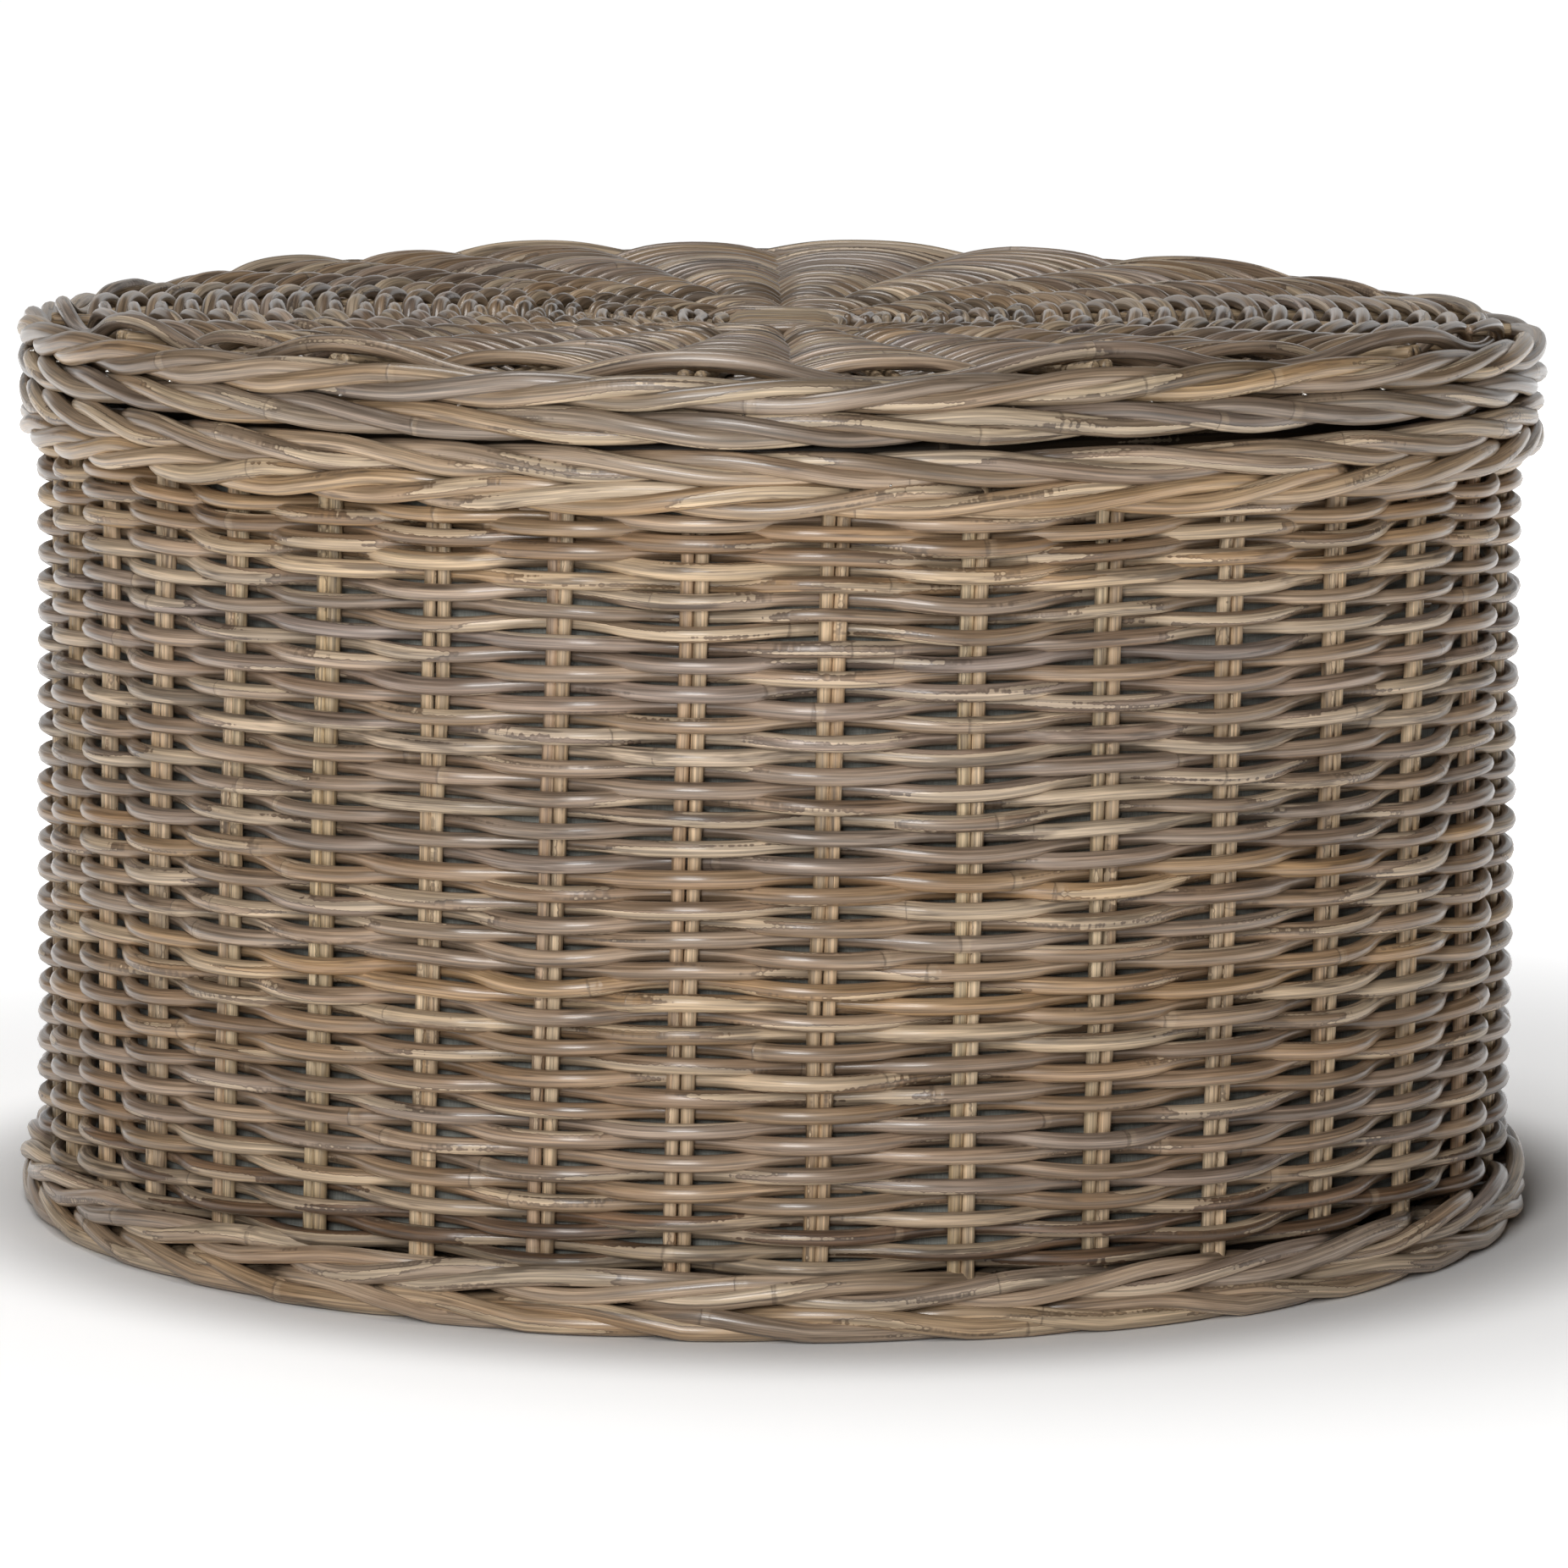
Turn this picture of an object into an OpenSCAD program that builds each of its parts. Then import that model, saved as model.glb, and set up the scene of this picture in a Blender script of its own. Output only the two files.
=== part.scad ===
// Round rattan laundry hamper with a lift-off lid and a cloth liner.
// Frame: +Z up, origin on the floor at the centre of the foot.
// The woven skins are plain shells of the true size: one layer for the passes
// outside the stakes or over the spokes, one for those inside or under them.

/* [Overall] */
// Outside diameter over the foot, rim and lid borders
outer_d = 610; // [580:5:650]
// Height of the woven wall between the foot and rim borders
wall_h = 284; // [220:2:340]
// Number of facets that stand for a full circle
$fn = 96; // [48:8:128]

/* [Borders] */
// Height of the foot border, which is two rope-like bands
foot_h = 24.5; // [22:0.5:26]
// Height of the rim border
rim_h = 23; // [21:0.5:25]
// Height of the lid border
lid_border_h = 25; // [24:0.5:26]
// Gap between the rim and the resting lid
lid_gap = 0.5; // [0.3:0.1:1]
// Width of the flat that the lowest band has worn where it stands
foot_flat_w = 5; // [3:0.5:6]

/* [Rods] */
// Diameter of the upright stakes and of the spokes
stake_d = 5; // [4.6:0.1:5.2]
// Distance between the centres of the two rods of a pair
pair_pitch = 6.1; // [5.6:0.1:6.6]
// Number of pairs of stakes round the wall
stake_pairs = 37; // [31:1:40]
// Number of pairs of spokes in the lid and in the base
spoke_pairs = 25; // [20:1:26]
// Thickness of one woven layer
layer_t = 5.8; // [5:0.1:6]
// Diameter of the cane hoops that carry the borders
hoop_d = 12; // [11:0.5:12]

/* [Lid and base discs] */
// How far the middle of the lid lies below its edge
lid_dip = 6; // [2:1:8]
// Thickness of one woven layer of a disc
disc_layer_t = 5.6; // [5.2:0.1:5.8]
// Height of the underside of the base disc above the floor
base_clearance = 6; // [5:0.5:6.5]
// Height of the lid's spokes, at their ends, above the underside of its border
lid_spoke_h = 22.5; // [21:0.5:23.5]
// Diameter of the outermost weaver of the lid, thicker than the others
edge_weaver_d = 6.5; // [6:0.5:8]
// Length of each arm of a disc's pierced cross, from the middle
cross_arm = 44; // [40:1:45]
// Number of parallel sticks in each arm of the cross
cross_sticks = 5; // [3:1:6]
// Width of each flat stick of the cross
stick_w = 8.4; // [6:0.2:9]

/* [Lid collar] */
// Gap between the collar and the rim hoop, all round
collar_gap = 3.4; // [2.5:0.2:5]
// Diameter of each of the two canes of the collar
collar_d = 12.2; // [11:0.2:12.2]

/* [Liner] */
// Thickness of the liner cloth
cloth_t = 1; // [0.8:0.1:1.2]
// Height of the doubled hem at the top of the liner
hem_h = 18; // [12:1:24]
// Width of each tie
tie_w = 10; // [8:1:14]
// Number of ties
tie_count = 8; // [4:1:12]

/* [Brads] */
// Diameter of a brad's shank
brad_d = 1.2; // [1:0.1:1.6]
// Diameter of a brad's head
brad_head_d = 2.6; // [2.4:0.2:3.6]

/* [Hidden] */

fit_gap = 0.2;           // air between neighbours that only touch in places
wide_gap = 0.5;          // air where a hoop, a disc or the liner needs more
outer_r = outer_d / 2;

// Levels, from the floor up
wall_z = foot_h;
rim_z = wall_z + wall_h;
rim_top_z = rim_z + rim_h;
lid_z = rim_top_z + lid_gap;

// The wall, from the outside in: woven layer, stakes, woven layer
wall_inset = 7;          // the wall stands this far inside the borders
wall_out_r = outer_r - wall_inset;
stake_r = wall_out_r - layer_t - fit_gap - stake_d / 2;
wall_in_r = stake_r - stake_d / 2 - fit_gap - layer_t;
stake_foot_z = 3;
stake_inset = 5;         // the stakes end this far below the top of the rim
stake_top_z = rim_top_z - stake_inset;

// The hoops stand inside the stakes, level with the join between two bands
hoop_r = stake_r - stake_d / 2 - 2 * fit_gap - hoop_d / 2;
base_hoop_d = 10;
base_hoop_r = stake_r - stake_d / 2 - fit_gap - base_hoop_d / 2 - wide_gap;
rim_hoop_z = rim_z + rim_h / 2;

// A disc, from below: woven layer, spokes, woven layer
base_spoke_z = base_clearance + disc_layer_t + fit_gap / 2 + stake_d / 2;
base_disc_r = base_hoop_r - base_hoop_d / 2 - 2 * wide_gap;
base_hoop_z = base_spoke_z;
spoke_tip = 3;           // how far the spokes stand out past the edge weaver
lid_disc_r = outer_r - lid_border_h / 2 - 1.5 * fit_gap;
lid_spoke_z = lid_z + lid_spoke_h;
edge_weaver_r = lid_disc_r - spoke_tip - edge_weaver_d / 2;
lid_upper_r = edge_weaver_r - edge_weaver_d / 2 - fit_gap;
lid_hoop_z = lid_spoke_z - stake_d / 2 - fit_gap - hoop_d / 2;
lid_hoop_r = lid_disc_r - hoop_d / 2 - 1.5 * fit_gap;
lid_lower_r = lid_hoop_r - hoop_d / 2 - wide_gap;

// The cross: one set of sticks is pierced, and a thinner set passes through it
stick_pitch = stick_w + fit_gap;
cross_half_w = cross_sticks * stick_pitch / 2;
// the spokes start just past the corners of the cross
spoke_in_r = sqrt(cross_arm * cross_arm + cross_half_w * cross_half_w) + wide_gap;
thin_stick_t = stake_d * 0.9;
stick_edge = 1.2;        // chamfer along the edges of a stick
weave_in_r = cross_half_w * sqrt(2) + wide_gap;

// The collar hangs under the lid and drops into the mouth
collar_r = hoop_r - hoop_d / 2 - collar_gap - collar_d / 2;
collar_top_z = disc_z(lid_spoke_z, lid_dip, collar_r - collar_d / 2)
    - stake_d / 2 - fit_gap - disc_layer_t;

// The liner lies inside the wall and on the base
liner_r = wall_in_r - wide_gap;
liner_floor_z = base_spoke_z + stake_d / 2 + fit_gap / 2 + disc_layer_t + wide_gap;
hem_drop = 2;            // the hem ends this far below the rim hoop
hem_top_z = rim_hoop_z - hoop_d / 2 - hem_drop;

brad_len = 17;           // from the head to the point
brad_head_t = 0.6;
brad_out = 0.6;          // how far past the band centres the shank stands
brad_phase = 0.3;        // share of the way from one pair of stakes to the next

// Height at radius r of a dished disc, flat over its cross and dip lower there
function disc_z(edge_z, dip, r) =
    edge_z - dip * (1 - max(0, r - spoke_in_r) / (lid_disc_r - spoke_in_r));

// A closed ring of round cane
module ring(r, z, d) {
    rotate_extrude() translate([r, z]) circle(d = d);
}

// A plain tube
module tube(in_r, out_r, low_z, high_z) {
    rotate_extrude() translate([in_r, low_z]) square([out_r - in_r, high_z - low_z]);
}

// One woven layer of a disc, with its underside at low_z at the lid's edge radius
module disc_layer(in_r, out_r, low_z, dip) {
    radii = dip == 0 ? [in_r, out_r] : [in_r, spoke_in_r, out_r];
    under = [for (r = radii) [r, disc_z(low_z, dip, r)]];
    over = [for (i = [len(radii) - 1 : -1 : 0]) under[i] + [0, disc_layer_t]];
    rotate_extrude() polygon(concat(under, over));
}

// The children n times round the axis, the first turned by phase steps
module around(n, phase = 0) {
    for (i = [0 : n - 1]) rotate([0, 0, (i + phase) * 360 / n]) children();
}

// The children twice, side by side across +X
module pair() {
    for (side = [-1, 1]) translate([0, side * pair_pitch / 2, 0]) children();
}

// Pairs of spokes that run out over a disc
module spokes(edge_z, dip, out_r) {
    start_z = disc_z(edge_z, dip, spoke_in_r);
    slope = atan(dip / (lid_disc_r - spoke_in_r));
    length = (out_r - spoke_in_r) / cos(slope);
    around(spoke_pairs) pair() translate([spoke_in_r, 0, start_z])
        rotate([0, 90 - slope, 0]) cylinder(h = length, d = stake_d);
}

// A row of flat parallel sticks along X, t thick and centred on the axis
module row_of_sticks(t) {
    w = stick_w / 2;
    h = t / 2;
    c = stick_edge;
    for (i = [0 : cross_sticks - 1])
        translate([-cross_arm, (i - (cross_sticks - 1) / 2) * stick_pitch, 0])
            rotate([90, 0, 90]) linear_extrude(2 * cross_arm) polygon([
                [-w, c - h], [c - w, -h], [w - c, -h], [w, c - h],
                [w, h - c], [w - c, h], [c - w, h], [-w, h - c]
            ]);
}

// Sticks along X, pierced by thinner ones along Y
module pierced_cross(mid_z) {
    translate([0, 0, mid_z]) union() {
        row_of_sticks(stake_d);
        rotate([0, 0, 90]) row_of_sticks(thin_stick_t);
    }
}

// Brads along the join of two bands, between the stakes and beside the ties
module brads(band_r, join_z) {
    head_r = band_r + brad_out;
    around(stake_pairs, brad_phase) translate([head_r, 0, join_z]) rotate([0, 90, 0]) {
        translate([0, 0, -brad_len]) cylinder(h = brad_len, d = brad_d);
        cylinder(h = brad_head_t, d = brad_head_d);
    }
}

// ---------------------------------------------------------------- base and foot

module base_cross_sticks() {
    color([0.62, 0.51, 0.39]) pierced_cross(base_spoke_z);
}

module base_spokes() {
    color([0.66, 0.56, 0.45]) spokes(base_spoke_z, 0, base_disc_r);
}

module base_weave() {
    color([0.50, 0.44, 0.38]) {
        disc_layer(weave_in_r, base_disc_r, base_clearance, 0);
        disc_layer(weave_in_r, base_disc_r, base_spoke_z + stake_d / 2 + fit_gap / 2, 0);
    }
}

module base_hoop() {
    color([0.56, 0.46, 0.36]) ring(base_hoop_r, base_hoop_z, base_hoop_d);
}

// The lowest band has a flat underside, on which the hamper stands
module foot_border_lower() {
    band_h = foot_h / 2;
    section_r = (band_h + pow(foot_flat_w / 2, 2) / band_h) / 2;
    color([0.52, 0.44, 0.35]) rotate_extrude() intersection() {
        translate([outer_r - section_r, band_h - section_r]) circle(r = section_r);
        translate([outer_r - 2 * section_r, 0]) square([2 * section_r, band_h]);
    }
}

module foot_border_upper() {
    color([0.55, 0.46, 0.36]) ring(outer_r - foot_h / 4, foot_h * 3 / 4, foot_h / 2);
}

module foot_brads() {
    color([0.78, 0.77, 0.74]) brads(outer_r - foot_h / 4, foot_h / 2);
}

// ---------------------------------------------------------------- wall and rim

module side_stakes() {
    color([0.71, 0.61, 0.51]) around(stake_pairs) pair()
        translate([stake_r, 0, stake_foot_z])
            cylinder(h = stake_top_z - stake_foot_z, d = stake_d);
}

module side_weave() {
    color([0.56, 0.50, 0.44]) {
        tube(wall_out_r - layer_t, wall_out_r, wall_z + fit_gap, rim_z - fit_gap);
        tube(wall_in_r, wall_in_r + layer_t, wall_z + fit_gap, rim_z - fit_gap);
    }
}

module rim_hoop() {
    color([0.56, 0.46, 0.36]) ring(hoop_r, rim_hoop_z, hoop_d);
}

module rim_border_lower() {
    color([0.58, 0.48, 0.37]) ring(outer_r - rim_h / 4, rim_z + rim_h / 4, rim_h / 2);
}

module rim_border_upper() {
    color([0.55, 0.46, 0.36]) ring(outer_r - rim_h / 4, rim_z + rim_h * 3 / 4, rim_h / 2);
}

module rim_brads() {
    color([0.78, 0.77, 0.74]) brads(outer_r - rim_h / 4, rim_z + rim_h / 2);
}

// ---------------------------------------------------------------- liner

module liner_floor() {
    color([0.47, 0.48, 0.46])
        tube(0, liner_r, liner_floor_z, liner_floor_z + cloth_t);
}

module liner_wall() {
    color([0.47, 0.48, 0.46])
        tube(liner_r - cloth_t, liner_r, liner_floor_z + cloth_t, hem_top_z - hem_h);
}

module liner_hem() {
    color([0.43, 0.44, 0.42])
        tube(liner_r - 2 * cloth_t, liner_r, hem_top_z - hem_h, hem_top_z);
}

// Each tie is a short tape that stands on the hem and loops round the rim hoop
module liner_ties() {
    loop_in_d = hoop_d + 2 * fit_gap;
    tape_h = rim_hoop_z - loop_in_d / 2 - hem_top_z;
    stakes_apart = stake_pairs / tie_count;
    color([0.43, 0.44, 0.42]) for (i = [0 : tie_count - 1])
        rotate([0, 0, (round(i * stakes_apart) + 0.5) * 360 / stake_pairs]) {
        translate([hoop_r, 0, rim_hoop_z]) rotate([90, 0, 0]) difference() {
            cylinder(h = tie_w, d = loop_in_d + 2 * cloth_t, center = true);
            cylinder(h = tie_w + wide_gap, d = loop_in_d, center = true);
        }
        translate([liner_r - cloth_t, -tie_w / 2, hem_top_z])
            cube([cloth_t, tie_w, tape_h]);
    }
}

// ---------------------------------------------------------------- lid

module lid_cross_sticks() {
    color([0.62, 0.51, 0.39]) pierced_cross(disc_z(lid_spoke_z, lid_dip, 0));
}

module lid_spokes() {
    color([0.66, 0.56, 0.45]) spokes(lid_spoke_z, lid_dip, lid_disc_r);
}

module lid_weave() {
    low_z = lid_spoke_z - stake_d / 2 - fit_gap / 2 - disc_layer_t;
    color([0.52, 0.45, 0.38]) {
        disc_layer(weave_in_r, lid_lower_r, low_z, lid_dip);
        disc_layer(weave_in_r, lid_upper_r, lid_spoke_z + stake_d / 2 + fit_gap / 2, lid_dip);
    }
}

// The thick last weaver, which lies on the ends of the spokes
module lid_edge_weaver() {
    color([0.50, 0.43, 0.36])
        ring(edge_weaver_r, lid_spoke_z + (stake_d + edge_weaver_d) / 2 + fit_gap / 2,
            edge_weaver_d);
}

module lid_hoop() {
    color([0.56, 0.46, 0.36]) ring(lid_hoop_r, lid_hoop_z, hoop_d);
}

module lid_border_lower() {
    color([0.54, 0.46, 0.38])
        ring(outer_r - lid_border_h / 4, lid_z + lid_border_h / 4, lid_border_h / 2);
}

module lid_border_upper() {
    color([0.52, 0.43, 0.34])
        ring(outer_r - lid_border_h / 4, lid_z + lid_border_h * 3 / 4, lid_border_h / 2);
}

// Two canes, one above the other
module lid_locating_ring() {
    color([0.56, 0.46, 0.36]) for (level = [0, 1])
        ring(collar_r, collar_top_z - collar_d * (level + 0.5), collar_d);
}

module lid_brads() {
    color([0.78, 0.77, 0.74]) brads(outer_r - lid_border_h / 4, lid_z + lid_border_h / 2);
}

base_cross_sticks();
base_spokes();
base_weave();
base_hoop();
foot_border_lower();
foot_border_upper();
foot_brads();
side_stakes();
side_weave();
rim_hoop();
rim_border_lower();
rim_border_upper();
rim_brads();
liner_floor();
liner_wall();
liner_hem();
liner_ties();
lid_cross_sticks();
lid_spokes();
lid_weave();
lid_edge_weaver();
lid_hoop();
lid_border_lower();
lid_border_upper();
lid_locating_ring();
lid_brads();
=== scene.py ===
import dataclasses
import math

import bmesh
import bpy
import numpy as np
from mathutils import Matrix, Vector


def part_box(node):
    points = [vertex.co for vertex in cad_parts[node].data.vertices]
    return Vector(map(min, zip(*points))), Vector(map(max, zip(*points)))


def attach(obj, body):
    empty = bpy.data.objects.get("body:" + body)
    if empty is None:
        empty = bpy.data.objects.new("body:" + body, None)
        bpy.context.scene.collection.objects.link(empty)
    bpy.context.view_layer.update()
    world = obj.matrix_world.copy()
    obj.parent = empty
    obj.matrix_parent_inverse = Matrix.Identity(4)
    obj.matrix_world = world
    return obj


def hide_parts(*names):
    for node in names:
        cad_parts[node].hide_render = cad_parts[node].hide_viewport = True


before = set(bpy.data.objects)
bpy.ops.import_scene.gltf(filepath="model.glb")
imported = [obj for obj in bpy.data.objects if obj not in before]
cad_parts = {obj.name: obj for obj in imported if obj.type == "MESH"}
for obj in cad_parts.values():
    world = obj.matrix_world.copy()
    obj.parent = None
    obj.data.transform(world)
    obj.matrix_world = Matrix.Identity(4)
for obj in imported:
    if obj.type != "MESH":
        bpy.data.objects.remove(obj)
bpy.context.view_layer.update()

TURN = 2 * math.pi

# ------------------------------ sizes from the frame


def low(node):
    """Lowest corner of a CAD node's box."""
    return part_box(node)[0]


def high(node):
    """Highest corner of a CAD node's box."""
    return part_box(node)[1]


STAKE_D = 0.005
STAKE_SHOWN_D = 0.0053          # the peeled rods are a little thicker than their nominal size
LAYER_T = 0.0058                # thickness of one woven layer of the wall
WEAVER_D = 0.0065
LID_WEAVER_D = 0.0059
PAIR_PITCH = 0.0052             # between the two rods of a pair
PAIRS = 37                      # pairs of stakes round the wall
SPOKES = 25                     # pairs of spokes in a disc
SKIN_GAP = 0.0002               # air between pieces that touch
OUTER_R = high("rim_border_lower").x
FLOOR_Z = low("foot_border_lower").z
WALL_R = high("side_weave").x
STAKE_R = WALL_R - LAYER_T - SKIN_GAP - STAKE_D / 2
STAKE_LOW = low("side_stakes").z
STAKE_HIGH = high("side_stakes").z
FOOT_TOP = high("foot_border_upper").z
RIM_LOW = low("rim_border_lower").z
LID_LOW = low("lid_border_lower").z
LID_BORDER_TOP = high("lid_border_upper").z
LID_DISC_R = high("lid_spokes").x
LID_SPOKE_Z = high("lid_spokes").z - STAKE_D / 2
LID_HUB_Z = (low("lid_cross_sticks").z + high("lid_cross_sticks").z) / 2
BASE_SPOKE_Z = (low("base_cross_sticks").z + high("base_cross_sticks").z) / 2
BASE_DISC_R = high("base_spokes").x
CROSS_ARM = high("lid_cross_sticks").x
SPOKE_START_R = CROSS_ARM + 0.003
LINER_R = high("liner_wall").x
LINER_LOW = low("liner_floor").z
HEM_LOW = low("liner_hem").z
HEM_TOP = high("liner_hem").z

# ------------------------------ colours, linear

GREY = np.array((0.345, 0.278, 0.222))
MAUVE = np.array((0.310, 0.256, 0.232))
TAN = np.array((0.450, 0.318, 0.196))
BROWN = np.array((0.255, 0.172, 0.108))
HONEY = np.array((0.500, 0.330, 0.175))
PEELED = np.array((0.610, 0.450, 0.280))

# tones, by which a rod's own colour is multiplied
WALL_TONE = np.array((0.92, 0.88, 0.83))
RAGGED_TONE = np.array((0.62, 0.54, 0.49))  # the dark, weathered rows above the foot
FOOT_LOWER_TONE = 1.14
FOOT_UPPER_TONE = 1.10
RIM_TONE = np.array((0.89, 0.88, 0.85))
LID_EDGE_TONE = np.array((0.83, 0.82, 0.77))
EDGE_ROD_TONE = 0.86
SPOKE_TONE = 0.70

# ------------------------------ small helpers


def ease(t):
    """Smooth step from 0 to 1."""
    t = np.clip(t, 0, 1)
    return t * t * (3 - 2 * t)


def drift(rng, x, pitch, size):
    """Smooth random wandering along x, with knots a pitch apart."""
    at = (x - x.min()) / pitch
    knots = rng.normal(0, size, int(at.max()) + 3)
    i = at.astype(int)
    return knots[i] + (knots[i + 1] - knots[i]) * ease(at - i)


def periodic(values, at):
    """Smooth value at place at of a ring of evenly spaced keys, one unit apart."""
    keys = np.asarray(values)
    i = np.floor(at).astype(int)
    t = at - i
    p0, p1, p2, p3 = (keys[(i + n) % len(keys)] for n in (-1, 0, 1, 2))
    return 0.5 * (
        2 * p1
        + (p2 - p0) * t
        + (2 * p0 - 5 * p1 + 4 * p2 - p3) * t ** 2
        + (3 * p1 - p0 - 3 * p2 + p3) * t ** 3
    )


def end_share(s, reach):
    """1 at the start of a cane and -1 at its end, fading to 0 over a reach."""
    return ease(1 - (s - s[0]) / reach) - ease(1 - (s[-1] - s) / reach)


def over_under(phase, flatness=1.7):
    """Wave from 1 at even phases to -1 at odd ones, flat where it passes a pair of rods."""
    return np.tanh(flatness * np.cos(math.pi * phase)) / math.tanh(flatness)


def polar(angle, radius, z):
    """Points at an angle from the front, positive to the right."""
    return np.stack((radius * np.sin(angle), -radius * np.cos(angle), z + 0 * angle), -1)


def unit(v):
    """Vectors of length 1 with the same directions."""
    return v / np.maximum(np.linalg.norm(v, axis=-1, keepdims=True), 1e-12)


def padded(rows):
    """Rows with the first and the last of them doubled."""
    return np.concatenate((rows[:1], rows, rows[-1:]))


def write_attribute(mesh, name, values):
    """Stores a vector or a colour for each point of a mesh."""
    kind, field = ("COLOR", "color") if values.shape[-1] == 4 else ("VECTOR", "vector")
    layer = mesh.attributes.new(name, f"FLOAT_{kind}", "POINT")
    layer.data.foreach_set(field, values.astype(np.float32).ravel())


def add_object(name, data):
    """A new object of a mesh, a lamp or a camera, in the scene."""
    thing = bpy.data.objects.new(name, data)
    bpy.context.scene.collection.objects.link(thing)
    return thing


# ------------------------------ rods as mesh

KNOT_PITCH = 0.31               # distance between the growth nodes of a cane
KNOT_SWELL = 0.07               # how much thicker it is at a node
KNOT_ROOM = 1.08                # half thicknesses that keep a swollen rod off the floor
CUT_BEVEL = 0.0007              # bevel round the cut end of a rod, and its smaller radius
CUT_SHARE = 0.82


def knot_swell(along):
    """Thickening of a cane at its growth nodes."""
    off = (along / KNOT_PITCH) % 1 - 0.5
    return KNOT_SWELL * np.exp(-((off / 0.018) ** 2))


class Rods:
    """Gathers round rods and makes one mesh object of them.

    Each point carries two attributes: cane is its place in the straightened rod, so that
    the material has no seam and follows the fibres, and tint is the rod's colour; for the
    lid's collar that colour is darkened as painted shade.
    """

    def __init__(self, sides=10):
        self.sides = sides
        self.points, self.canes, self.tints, self.ages = [], [], [], []
        self.quads, self.caps = [], []
        self.count = 0

    def add(self, rng, path, radius, tint, up, age=0.2, widen=1.0):
        """One rod along path, with a radius and a tint at each point of it. widen makes
        it wider across up, as a split stick is. The skin of an aged cane is flaked."""
        path = np.asarray(path, float)
        n = len(path)
        step = np.linalg.norm(np.diff(path, axis=0), axis=1)
        along = np.concatenate(([0], np.cumsum(step))) + rng.uniform(0, 40)
        radius = np.broadcast_to(radius, (n,)) * (1 + knot_swell(along))
        tint = np.broadcast_to(tint, (n, 3))
        tangent = unit(np.gradient(path, axis=0))
        side = unit(np.cross(tangent, np.broadcast_to(up, (n, 3))))
        normal = np.cross(side, tangent)
        path, along, radius, tint, side, normal = map(
            padded, (path, along, radius, tint, side, normal)
        )
        path[0] -= tangent[0] * CUT_BEVEL
        path[-1] += tangent[-1] * CUT_BEVEL
        along[[0, -1]] += (-CUT_BEVEL, CUT_BEVEL)
        radius[[0, -1]] *= CUT_SHARE
        n += 2
        turn = np.arange(self.sides) / self.sides * TURN
        ring_n = radius[:, None] * np.cos(turn)
        ring_s = radius[:, None] * np.sin(turn) * widen
        points = (
            path[:, None]
            + ring_n[..., None] * normal[:, None]
            + ring_s[..., None] * side[:, None]
        )
        cane = np.stack((np.broadcast_to(along[:, None], ring_n.shape), ring_n, ring_s), -1)
        rings = self.count + np.arange(n * self.sides).reshape(n, self.sides)
        here, there = rings[:-1], rings[1:]
        quads = np.stack(
            (here, there, np.roll(there, -1, 1), np.roll(here, -1, 1)), -1
        )
        self.points.append(points.reshape(-1, 3))
        self.canes.append(cane.reshape(-1, 3))
        self.tints.append(np.repeat(tint, self.sides, axis=0))
        self.ages.append(np.full(n * self.sides, age))
        self.quads.append(quads.reshape(-1, 4))
        self.caps += [rings[0], rings[-1][::-1]]
        self.count += n * self.sides

    def make(self, name, material, body, nodes, shape=None):
        """The object, riding on its body and standing for its CAD nodes."""
        points = np.concatenate(self.points)
        if shape:
            points = shape(points)
        quads = np.concatenate(self.quads)
        caps = np.array(self.caps)
        mesh = bpy.data.meshes.new(name)
        mesh.vertices.add(len(points))
        mesh.vertices.foreach_set("co", points.astype(np.float32).ravel())
        corners = np.concatenate((quads.ravel(), caps.ravel()))
        starts = np.concatenate(
            (
                np.arange(len(quads)) * 4,
                quads.size + np.arange(len(caps)) * self.sides,
            )
        )
        mesh.loops.add(len(corners))
        mesh.loops.foreach_set("vertex_index", corners.astype(np.int32))
        mesh.polygons.add(len(starts))
        mesh.polygons.foreach_set("loop_start", starts.astype(np.int32))
        mesh.polygons.foreach_set("use_smooth", np.ones(len(starts), bool))
        write_attribute(mesh, "cane", np.concatenate(self.canes))
        ages = np.concatenate(self.ages)[:, None]
        write_attribute(mesh, "tint", np.hstack((np.concatenate(self.tints), ages)))
        mesh.update(calc_edges=True)
        mesh.validate()
        return place(name, mesh, material, body, nodes)


def place(name, mesh, material, body, nodes):
    """The object of a mesh, riding on its body and standing for its CAD nodes."""
    piece = add_object(name, mesh)
    mesh.materials.append(material)
    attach(piece, body)
    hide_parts(*nodes)
    return piece


def skin_age(rng, more=0.0):
    """How flaked and stained the skin of a cane is: most canes are clean."""
    return float(np.clip(rng.beta(0.7, 2.0) + more, 0, 1))


def rod_tint(rng, along, warmth, spread=0.35):
    """Colour along a cane: it wanders between grey, mauve, tan and brown."""
    warm = np.clip(warmth + rng.normal(0, spread) + drift(rng, along, 0.25, 0.18), 0, 1)
    dark = np.clip(rng.normal(0.05, 0.28) + drift(rng, along, 0.18, 0.14), 0, 1)
    cool = GREY + (MAUVE - GREY) * rng.uniform(0, 1)
    hot = TAN + (HONEY - TAN) * rng.uniform(0, 0.7) ** 2
    colour = cool + (hot - cool) * warm[:, None]
    colour = colour + (BROWN - colour) * (dark * 0.8)[:, None]
    light = 1 + rng.normal(0, 0.10) + drift(rng, along, 0.09, 0.06)
    return colour * light[:, None]


# ------------------------------ materials


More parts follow.
